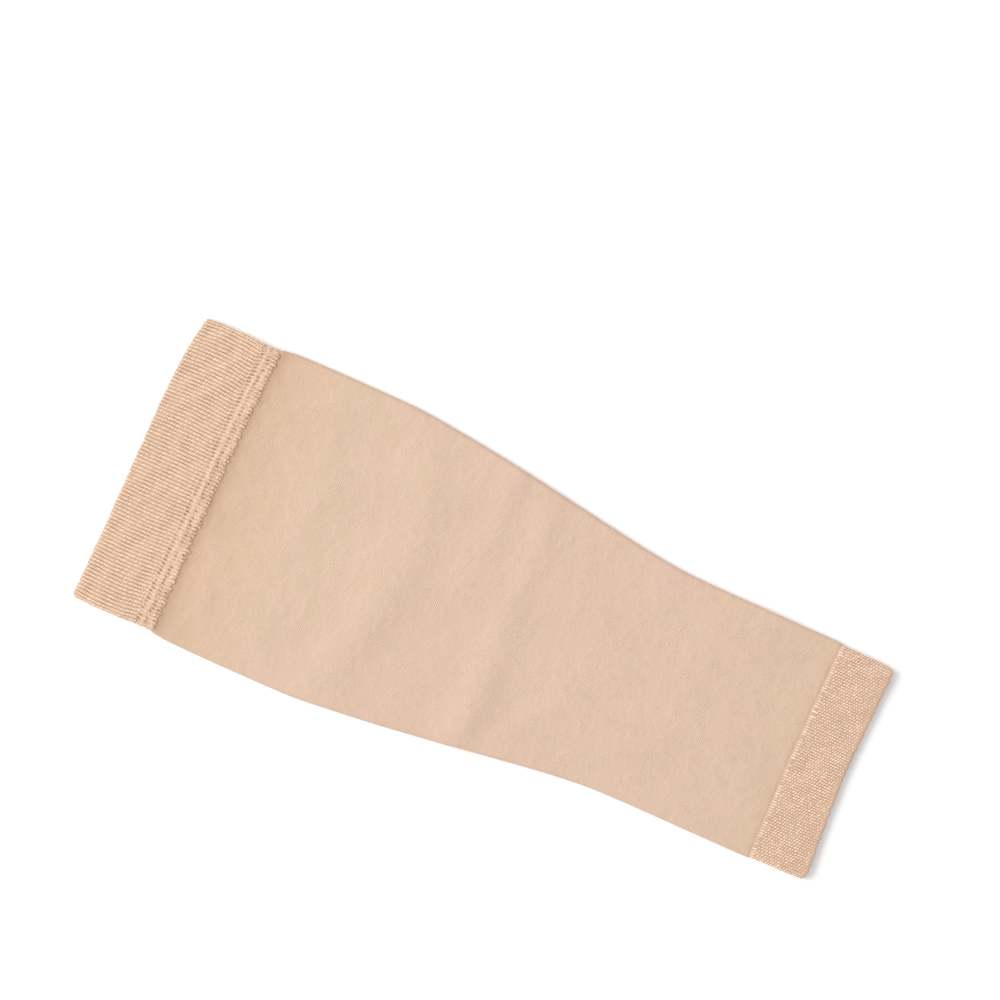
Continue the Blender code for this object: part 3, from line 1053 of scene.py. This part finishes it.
KNEE_YELLOW, KNEE_YELLOW_REACH = 0.42, 100 * MM   # and more of it towards both ends
JOIN_YELLOW, JOIN_YELLOW_REACH = 0.45, 14 * MM
# the warm tint of the shade that is painted beside the seam and the ankle join
SHADE_TINT = (0.94, 0.81, 0.70)


def leg_knit():
    """A fine knit whose stitches show in some patches and hardly in others."""
    dye = Dye("leg knit")
    turn, along = dye.knit_map()
    wale = dye.maths("ABSOLUTE", dye.maths("FRACT", turn * WALES) - 0.5)
    legs = dye.wave(2 * math.pi * (along / COURSE + wale * V_SLANT))
    column = 1.0 - (wale * 2.0) ** 2.0
    shown = dye.limit((dye.blotches(SHOWN_PATCH, detail=3.0) - SHOWN_FROM) * SHOWN_CONTRAST)
    stitch = legs * V_SHARE + column * (1 - V_SHARE)
    stitch = stitch * (HIDDEN_STITCH + (1 - HIDDEN_STITCH) * shown)
    grain = dye.blotches(GRAIN) * (HIDDEN_GRAIN + (1 - HIDDEN_GRAIN) * shown)
    near_knee = KNEE_YELLOW * dye.limit(1.0 - along / KNEE_YELLOW_REACH)
    near_join = JOIN_YELLOW * dye.limit(math.e ** ((along - leg.length) / JOIN_YELLOW_REACH))
    patchy = YELLOW_VARIES * (dye.blotches(YELLOW_PATCH) - 0.5)
    colour = dye.mix(dye.limit(YELLOW_SHARE + patchy + near_knee + near_join), LEG_PINK, LEG_YELLOW)
    # painted shade: warmer and darker beside the seam, over the knee end and at the ankle join
    colour = dye.tint(dye.stored("painted_shade"), colour, SHADE_TINT)
    # painted shade in the knit's low places, lighter on its heights
    colour = dye.darken(colour, 0.93 + STITCH_SHADE * stitch + GRAIN_SHADE * grain)
    colour = dye.mottle(colour, 24 * MM)
    return dye.finish(colour, roughness=0.92, sheen=0.10, height=stitch + grain * GRAIN_HEIGHT,
                      bump=KNIT_BUMP)


leg_piece.data.materials.append(leg_knit())

# %% The ribs' wall and its yarn
# the band's own colour, painted darker than its yarn as shade between the stitches
BAND_WALL_SHADED_COLOUR = shade(0.745, 0.528, 0.390)
# painted shade in the band's valleys
BAND_VALLEY_SHADE = shade(0.43, 0.286, 0.19)
BAND_YARN_PINK = shade(0.962, 0.686, 0.529)
BAND_YARN_YELLOW = shade(0.938, 0.714, 0.489)
STRAND = 0.45 * MM            # one strand of the wall's own yarn, which shows between the stitches
STRAND_BUMP = 0.05 * MM
DASH = 0.7 * MM               # the shade in a valley is broken into dashes
VALLEY_SHADE_POWER = 1.5               # a power above one keeps the painted shade off the slopes of a valley
END_TINT = (0.94, 0.915, 0.865)
END_TINT_SPAN = 3 * MM
TONE_LOWEST, TONE_RANGE = 0.86, 0.26   # each stitch has a tone of its own
FIBRE = 0.16 * MM
FIBRE_BUMP = 0.04 * MM


def rib_wall(name, crest, valley):
    """A rib's own cloth: its colour on the crest, and painted shade in its valleys and pits, in broken
    dashes.
    """
    dye = Dye(name)
    turn, along = dye.knit_map()
    dashes = 0.6 + 0.8 * dye.blotches(DASH)
    # painted shade: the deeper a place lies, the darker it is painted
    colour = dye.mix(dye.limit(dye.stored("deep") ** VALLEY_SHADE_POWER * dashes), crest, valley)
    colour = dye.mottle(colour, 8 * MM)
    height = dye.wave(2 * math.pi * (along / STRAND + turn * RIBS * 0.5))
    return dye.finish(colour, roughness=0.92, sheen=0.05, height=height, bump=STRAND_BUMP)


def yarn(name, pink, yellow, tint_from=None):
    """A yarn's finish. From the given place along X it turns a little darker and warmer."""
    dye = Dye(name)
    colour = dye.mix(dye.blotches(9 * MM), pink, yellow)
    colour = dye.darken(colour, TONE_LOWEST + TONE_RANGE * dye.stored("tone"))
    if tint_from:
        x = dye.node("ShaderNodeSeparateXYZ", None, {"Vector": dye.place()})
        colour = dye.tint(dye.limit((x - tint_from) / END_TINT_SPAN), colour, END_TINT)
    return dye.finish(colour, roughness=0.88, sheen=0.10, height=dye.blotches(FIBRE), bump=FIBRE_BUMP)


band_wall = rib_wall("band rib wall", BAND_WALL_SHADED_COLOUR, BAND_VALLEY_SHADE)
band_yarn = yarn("band yarn", BAND_YARN_PINK, BAND_YARN_YELLOW)
top_piece.data.materials.append(band_wall)

# %% Lay the top band's stitches
STITCH_STEP = 1.07 * MM       # along the rib
STITCH_JITTER = 0.15          # in steps
STITCH_SLANT = math.radians(52)
STITCH_SIZE = (1.55 * MM, 0.57 * MM, 0.60 * MM)   # length, width and height
FIRST_STITCHES = 0.7 * MM     # from the mouth
SUNK = 0.11 * MM              # how much deeper the stitches lie in the patches where they hardly show


def rib_grid(first, last, step, shifts, jitter):
    """(run, turn) of stitches on every rib.

    `shifts` says how far each rib's column is moved, and `jitter` how far a stitch strays, both in steps.
    """
    rows = round((last - first) / step)
    rib, row = np.meshgrid(np.arange(RIBS), np.arange(rows), indexing="ij")
    run = first + (row + shifts[:, None] + chance.uniform(-jitter, jitter, rib.shape)) * step
    return run.ravel(), ((rib + 0.5) / RIBS).ravel()


def chance_sizes(count, smaller, larger):
    """Factors on the length, width and height of stitches, up to so much under and over 1."""
    return 1 + chance.uniform(-smaller, larger, (count, 3))


run, turn = rib_grid(FIRST_STITCHES, top_band.length + LAST_STITCHES, STITCH_STEP,
                     chance.random(RIBS), STITCH_JITTER)
size = chance_sizes(len(run), smaller=0.18, larger=0.18)
depth = STITCH_SIZE[2] / 2 + SUNK * patches(run, turn, seed=8)
carrier = carrier_mesh("top band carrier", top_band, run, turn, depth, size)
top_stitches = lay_stitches("top_band_stitches", carrier, band_yarn, STITCH_SIZE, STITCH_SLANT,
                            unevenness=0.10, seed=11)

# %% [markdown]
# ## The seam
#
# Band and tube are lapped and sewn through with two rows of needle stitches. Each row pulls the cloth down
# to a row of pits, in the valleys between the ribs, and the ribs go on over the soft ridge between the
# rows. Beyond the second row the cut edge is wrapped in loops of overlock thread, which draw in a third,
# fainter row of pits, and it ends unevenly. So the seam is one short wall with a profile of its own, with
# threads lying on it in no strict order.

# %% The seam's profile and its rows of pits
# run: millimetres from the ribs. front and back: how deep the cloth lies under the solid's skin.
SEAM_PROFILE = (
    dict(run=-0.3, front=1.44, back=0.62),
    dict(run=0.3, front=1.50, back=0.58),
    dict(run=0.9, front=1.58, back=0.54),
    dict(run=1.4, front=1.61, back=0.50),
    dict(run=1.9, front=1.56, back=0.46),
    dict(run=2.5, front=1.42, back=0.40),
    dict(run=2.9, front=1.32, back=0.34),
    dict(run=3.3, front=1.30, back=0.32),
    dict(run=3.8, front=1.35, back=0.34),
    dict(run=4.4, front=1.41, back=0.38),
    dict(run=4.8, front=1.42, back=0.40),
    dict(run=5.4, front=1.37, back=0.38),
    dict(run=6.0, front=1.31, back=0.34),
    dict(run=6.7, front=1.26, back=0.32),
    dict(run=7.3, front=1.28, back=0.34),
    dict(run=7.9, front=1.38, back=0.44),
    dict(run=8.3, front=1.50, back=0.56),
)
# run, reach and deep: where a row of pits is, how far a pit reaches along its valley to each side, and how
# deep it is, in millimetres. missing: the share of the valleys that have no pit. seed: for its soft patches.
PIT_ROWS = (
    dict(run=1.20, reach=1.25, deep=0.54, missing=0.08, seed=12),
    dict(run=4.55, reach=0.85, deep=0.52, missing=0.12, seed=46),
    dict(run=7.6, reach=1.00, deep=0.38, missing=0.22, seed=76),
)
PIT_STRAY = 0.4               # how far a pit strays along its valley, in millimetres
PIT_STRENGTH = (0.4, 1.1)     # how unevenly deep the pits are, as shares of `deep`
PIT_SLACK = 0.35              # and what soft patches take from that
PIT_WIDENING = 0.7            # a power below one makes the pits wider than the valleys
PIT_FALL = 2                  # how steeply a pit ends within its reach

seam_runs = [row["run"] * MM for row in SEAM_PROFILE]
seam_front = smooth_curve(seam_runs, [row["front"] * MM for row in SEAM_PROFILE])
seam_back = smooth_curve(seam_runs, [row["back"] * MM for row in SEAM_PROFILE])
for row in PIT_ROWS:
    slack = patches(0.0, np.arange(RIBS) / RIBS, row["seed"])
    sewn = chance.random(RIBS) > row["missing"]
    row["strength"] = chance.uniform(*PIT_STRENGTH, RIBS) * (1 - PIT_SLACK * slack) * sewn
    row["places"] = (row["run"] + chance.uniform(-PIT_STRAY, PIT_STRAY, RIBS)) * MM
    print(f"pits {row['run']} mm from the ribs: {sewn.sum()} of {RIBS} valleys")

# %% How the seam lies
SEAM_START = -0.25 * MM       # it laps a little over the band's last ribs
SEAM_REACH = SEAM_PROFILE[-1]["run"] * MM
SEAM_BULGE = 0.3 * MM         # its sides stand out a little
SEAM_RAGGED = 0.28 * MM       # its free edge is uneven, more and more from here on
UNEVEN_FROM, UNEVEN_SPAN = 4.2 * MM, 4 * MM


def seam_sink(run, x, y, over):
    """The profile of the front panel passes into that of the back panel round the side folds."""
    share = eased(over)
    return seam_front(run) * share + seam_back(run) * (1 - share)


def seam_sway(run, turn):
    """The seam's ribs go on from the band's."""
    return top_band_sway(top_band.length + 0 * run, turn)


def seam_stray(run, turn):
    """The free edge is uneven, because every loop of its thread pulls it a little differently."""
    return ragged(turn, SEAM_RAGGED, seed=4) * ramp(run, UNEVEN_FROM, UNEVEN_SPAN)


seam.sink = seam_sink
seam.sway = seam_sway
seam.stray = seam_stray
seam.bulge = lambda run: SEAM_BULGE + 0 * run

# %% Knit the seam's wall
VALLEYS = 0.25 * MM           # how deep the valleys run on between the pits
SLACK = 0.14 * MM             # how unevenly the wrapped edge lies, from here on
SLACK_FROM, SLACK_SPAN = 4.5 * MM, 1.0 * MM
THINNEST = 0.05 * MM          # what a pit leaves of the wall at least
FULL_SHADE_AT = 0.60 * MM        # a pit this deep has the full painted shade of a valley


def seam_relief(run, turn):
    """Valleys that run on from the band's, with a row of pits where each row of stitches is."""
    valley, nearest = rib_valley(turn), nearest_valley(turn)
    total = VALLEYS * valley + SLACK * patches(run, turn, seed=16) * ramp(run, SLACK_FROM, SLACK_SPAN)
    for row in PIT_ROWS:
        pull = np.exp(-PIT_FALL * ((run - row["places"][nearest]) / (row["reach"] * MM)) ** 2)
        total = total + row["deep"] * MM * pull * valley**PIT_WIDENING * row["strength"][nearest]
    return np.minimum(total, SEAM_WALL - THINNEST)


seam_loop = wall_loop(SEAM_REACH, SEAM_WALL, outer_spans=36, inner_spans=3, near_edge=SEAM_START)
seam_piece = knit_wall("seam_wall", seam, SEAM_WALL, seam_loop, RIBS * TURNS_PER_RIB, seam_relief,
                       FULL_SHADE_AT, inside=0.0)

# %% Dye the seam
SEAM_COLOUR = shade(0.745, 0.528, 0.386)
# painted shade in the seam's pits
SEAM_PIT_SHADE = shade(0.28, 0.165, 0.105)
SEAM_YARN_PINK = shade(0.86, 0.615, 0.455)
SEAM_YARN_YELLOW = shade(0.86, 0.632, 0.44)

seam_yarn = yarn("seam thread", SEAM_YARN_PINK, SEAM_YARN_YELLOW)
seam_piece.data.materials.append(rib_wall("seam wall", SEAM_COLOUR, SEAM_PIT_SHADE))

# %% Lay the seam's threads
on_rib = (np.arange(RIBS) + 0.5) / RIBS
twice = np.concatenate([on_rib, on_rib + 0.25 / RIBS])   # and once more a quarter of a rib on
THREAD_SINKS = (-0.05, 0.12)  # how unevenly deep the threads lie, in millimetres
# turn: where the threads of a row are, one at each. run and spread: how far from the ribs, and how far a
# thread strays from that. size: length, width and height. slant and swing are in degrees, and the rest is
# in millimetres.
THREAD_ROWS = (
    dict(name="seam_ridge_threads", turn=on_rib, run=3.0, spread=0.5, size=(1.4, 0.52, 0.38),
         slant=16, swing=28, depth=0.05, seed=21),
    dict(name="seam_ridge_specks", turn=twice, run=2.7, spread=1.6, size=(0.90, 0.36, 0.52),
         slant=38, swing=45, depth=-0.10, seed=24),
    dict(name="seam_edge_loops", turn=on_rib, run=6.8, spread=0.5, size=(2.1, 0.58, 0.56),
         slant=30, swing=24, depth=0.10, seed=22),
    dict(name="seam_edge_specks", turn=twice, run=6.5, spread=1.4, size=(1.05, 0.42, 0.50),
         slant=35, swing=50, depth=-0.07, seed=25),
    dict(name="seam_edge_crossings", turn=twice, run=7.9, spread=0.5, size=(1.2, 0.44, 0.46),
         slant=12, swing=45, depth=0.24, seed=23),
)


def thread_row(name, turn, run, spread, size, slant, swing, depth, seed):
    """One row of threads round the seam, each strayed, swung, sunk and sized a little by chance."""
    count = len(turn)
    runs = (run + chance.uniform(-spread, spread, count)) * MM
    slants = np.radians(slant + chance.uniform(-swing, swing, count))
    depths = (depth + chance.uniform(*THREAD_SINKS, count)) * MM
    factors = chance_sizes(count, smaller=0.3, larger=0.2)
    carrier = carrier_mesh(name + " carrier", seam, runs, turn, depths, factors, slants)
    return lay_stitches(name, carrier, seam_yarn, [part * MM for part in size], slant=0.0,
                        unevenness=0.12, seed=seed)


seam_threads = [thread_row(**row) for row in THREAD_ROWS]

# %% [markdown]
# ## The ankle band
#
# The ankle band is a finer rib, one layer, with beads of yarn in brick order. Its first stitches, at the
# join, are long loops that lie along the leg. Towards its turned end the beads get a little smaller.

# %% Knit the ankle band
ANKLE_RIB_DEPTH = 0.15 * MM
ANKLE_YARN_STANDS = 0.16 * MM
ANKLE_EVEN, ANKLE_UNEVEN = 0.75, 0.45   # shares of the depth: everywhere, and what patches add
UNDER_LOOPS = 0.35            # the share of it that is left under the first loops, up to LOOPS_TO
LOOPS_TO, LOOPS_SPAN = 1.6 * MM, 1.4 * MM
END_FINENESS = 0.25           # how much finer the turned end is, on its last END_LENGTH
END_LENGTH, END_SPAN = 3.0 * MM, 2.0 * MM
ANKLE_WANDER = 0.6            # its ribs wander less than the top band's
ANKLE_RAGGED = 0.18 * MM
ANKLE_CORNERS = 1.15 * MM     # how far the corners of its end are drawn back
ANKLE_REACH = 5 * MM          # how far into the band that is felt


def ankle_fineness(run):
    """The size of the rib, which is smaller at the turned end."""
    return 1 - END_FINENESS * ramp(run, ankle_band.length - END_LENGTH, END_SPAN)


def ankle_relief(run, turn):
    """Shallow valleys, shallower still under the first loops."""
    uneven = ANKLE_EVEN + ANKLE_UNEVEN * patches(run, turn, seed=13)
    first = UNDER_LOOPS + (1 - UNDER_LOOPS) * ramp(run, LOOPS_TO, LOOPS_SPAN)
    return ankle_fineness(run) * (ANKLE_YARN_STANDS + ANKLE_RIB_DEPTH * first * uneven * rib_valley(turn))


def ankle_sway(run, turn):
    """The ribs wander a little."""
    return ANKLE_WANDER * wander(run, turn) / ankle_band.girth(run)


def ankle_stray(run, turn):
    """The turned end is a little uneven, with round corners."""
    corners = drawn_back(turn, ankle_band.girth(run), ANKLE_CORNERS)
    near_end = ramp(run, ankle_band.length - ANKLE_REACH, ANKLE_REACH)
    return (ragged(turn, ANKLE_RAGGED, seed=6) - corners) * near_end


ankle_band.sway = ankle_sway
ankle_band.stray = ankle_stray
ankle_loop = wall_loop(ankle_band.length, ANKLE_WALL, outer_spans=30, inner_spans=6)
ankle_piece = knit_wall("ankle_band_rib", ankle_band, ANKLE_WALL, ankle_loop, RIBS * TURNS_PER_RIB,
                        ankle_relief, ANKLE_YARN_STANDS + ANKLE_RIB_DEPTH)

# %% Dye the ankle band
# the ankle band's own colour, painted darker than its yarn as shade between the beads
ANKLE_WALL_SHADED_COLOUR = shade(0.71, 0.500, 0.368)
# painted shade in the ankle band's valleys
ANKLE_VALLEY_SHADE = shade(0.47, 0.310, 0.218)
ANKLE_YARN_PINK = shade(0.97, 0.714, 0.560)
ANKLE_YARN_YELLOW = shade(0.96, 0.725, 0.54)
END_TINT_LENGTH = 4 * MM             # the yarn turns a little darker and warmer at the turned end

ankle_yarn = yarn("ankle yarn", ANKLE_YARN_PINK, ANKLE_YARN_YELLOW,
                  tint_from=ankle_band.start + ankle_band.length - END_TINT_LENGTH)
ankle_piece.data.materials.append(rib_wall("ankle rib wall", ANKLE_WALL_SHADED_COLOUR, ANKLE_VALLEY_SHADE))

# %% Lay the ankle band's beads
BEAD_STEP = 1.10 * MM
BEAD_SIZE = (1.24 * MM, 0.58 * MM, 0.46 * MM)   # length, width and height
BEAD_SLANT = math.radians(52)
BEAD_DEPTH, BEAD_SUNK = 0.15 * MM, 0.05 * MM
BEADS_FROM = 2.7 * MM         # past the first loops
BEADS_TO_END = 0.9 * MM       # the turned end is bare
BEAD_JITTER = 0.14            # along the rib, in steps
BEAD_STRAY = 0.10             # and across it, in ribs
FLAT_BEADS, FULLER_BEADS = 0.66, 0.56   # the height in the flattest patches, and what the fullest add

brick_order = np.arange(RIBS) % 2 / 2
run, turn = rib_grid(BEADS_FROM, ankle_band.length - BEADS_TO_END, BEAD_STEP, brick_order, BEAD_JITTER)
turn += chance.uniform(-BEAD_STRAY, BEAD_STRAY, len(turn)) / RIBS
size = chance_sizes(len(run), smaller=0.25, larger=0.2) * ankle_fineness(run)[:, None]
size[:, 2] *= FLAT_BEADS + FULLER_BEADS * patches(run, turn, seed=14)
depth = BEAD_DEPTH + BEAD_SUNK * patches(run, turn, seed=9)
carrier = carrier_mesh("ankle carrier", ankle_band, run, turn, depth, size)
ankle_beads = lay_stitches("ankle_band_beads", carrier, ankle_yarn, BEAD_SIZE, BEAD_SLANT,
                           unevenness=0.08, seed=31)

# %% Lay its first loops
FIRST_LOOP = 1.3 * MM         # where they are, from the join
LOOP_SIZE = (2.4 * MM, 0.72 * MM, 0.25 * MM)
LOOP_SLANT = math.radians(8)
LOOP_DEPTH = 0.20 * MM
LOOP_STRAY = 0.15             # in millimetres, and so are the sinks
LOOP_SINKS = (-0.03, 0.05)
FLAT_LOOPS, FULLER_LOOPS = 0.62, 0.5

run = FIRST_LOOP + chance.uniform(-LOOP_STRAY, LOOP_STRAY, RIBS) * MM
depth = LOOP_DEPTH + chance.uniform(*LOOP_SINKS, RIBS) * MM
size = chance_sizes(RIBS, smaller=0.2, larger=0.1)
size[:, 2] *= FLAT_LOOPS + FULLER_LOOPS * patches(run, on_rib, seed=15)
carrier = carrier_mesh("first loops carrier", ankle_band, run, on_rib, depth, size)
first_loops = lay_stitches("ankle_first_loops", carrier, ankle_yarn, LOOP_SIZE, LOOP_SLANT,
                           unevenness=0.10, seed=32)

# %% The table's finish
TABLE_DARKER, TABLE_LIGHTER = shade(0.97, 0.97, 0.97), shade(0.985, 0.985, 0.985)

table_dye = Dye("table")
table_colour = table_dye.mix(table_dye.blotches(300 * MM), TABLE_DARKER, TABLE_LIGHTER)
table_mesh.materials.append(table_dye.finish(table_colour, roughness=0.9, sheen=0.0))

# %% [markdown]
# ## Put each piece on the sleeve's body
#
# Every piece rides on the sleeve's one body and stands for the imported part that it replaces, which is
# hidden. The sizes of the sheets before the knit was laid are printed.

# %% Ride and replace
PIECES = (
    (leg_piece, "leg_tube", "leg_knit"),
    (top_piece, "top_band", "band_rib"),
    (top_stitches, "top_band", "band_rib"),
    (seam_piece, "band_seam", "seam_thread"),
    *((thread, "band_seam", "seam_thread") for thread in seam_threads),
    (ankle_piece, "ankle_band", "ankle_rib"),
    (ankle_beads, "ankle_band", "ankle_rib"),
    (first_loops, "ankle_band", "ankle_rib"),
)
for piece, node, slot in PIECES:
    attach(piece, "root")
    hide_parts(node)


def knitted_area(tube, spans=200):
    """The flat area of a tube's knit, all round, from its girth at every place."""
    runs = np.linspace(0, tube.length, spans + 1)
    girths = tube.girth(runs)
    return float(np.sum((girths[1:] + girths[:-1]) / 2) * tube.length / spans)


def declare_sheet(piece, tube):
    """Print a sheet's widest girth and its length."""
    runs = np.linspace(0, tube.length, 50)
    flat = (float(tube.girth(runs).max()), float(tube.length))
    knitted_area(tube)
    print(f"{piece.name}: knitted {flat[0] / MM:.0f} mm round and {flat[1] / MM:.0f} mm long")


declare_sheet(leg_piece, leg)
declare_sheet(top_piece, top_band)
declare_sheet(ankle_piece, ankle_band)
